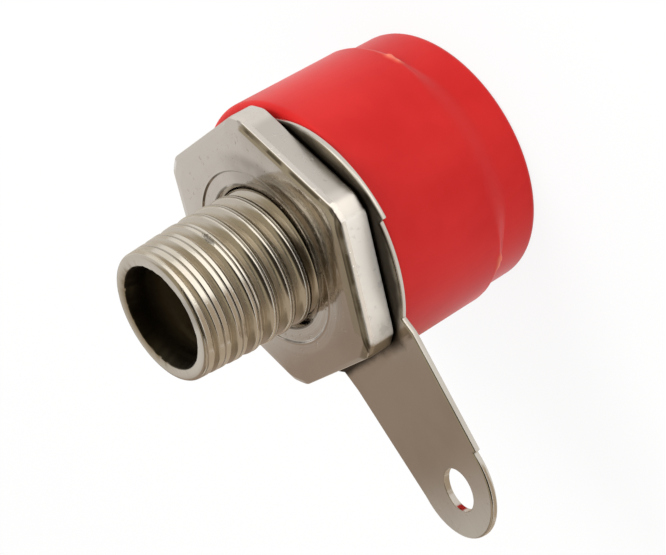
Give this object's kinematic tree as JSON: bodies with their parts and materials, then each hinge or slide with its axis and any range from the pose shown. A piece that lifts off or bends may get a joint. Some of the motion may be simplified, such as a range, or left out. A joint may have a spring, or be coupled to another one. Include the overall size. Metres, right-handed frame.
{
  "type": "banana socket",
  "caption": "Panel banana socket: round insulating head with a plug bore, threaded metal barrel behind it, thin hex nut and a cranked solder tag.",
  "frame": {"origin": "centre of the head's front face, on the barrel's axis, where the plug goes in", "axes": "+Z along the barrel from the front face to its free end, -X along the solder tag, +Y completes a right-handed frame"},
  "size_m": [0.0202, 0.0128, 0.0153],
  "materials": {
    "head_plastic": "moulded red polyamide, satin gloss",
    "barrel_nickel": "bright nickel plate on turned brass",
    "nut_nickel": "bright nickel plate on turned brass",
    "tag_nickel": "nickel plate on stamped brass sheet"
  },
  "bodies": {
    "socket": {"insulating_head": "head_plastic", "threaded_barrel": "barrel_nickel"},
    "tag": {"solder_tag": "tag_nickel"},
    "nut": {"hex_nut": "nut_nickel"}
  },
  "joints": [
    {"name": "tag_slide", "type": "slide", "parent": "socket", "child": "tag", "axis": [0, 0, 1], "range_m": [0, 0.0042]},
    {"name": "nut_turn", "type": "hinge", "parent": "tag", "child": "nut", "pos_m": [0, 0, 0.0083], "axis": [0, 0, 1], "range_deg": [0, 1800]}
  ],
  "couplings": [
    {"joint": "nut_turn", "follows": "tag_slide", "rad_per_m": 7480}
  ]
}
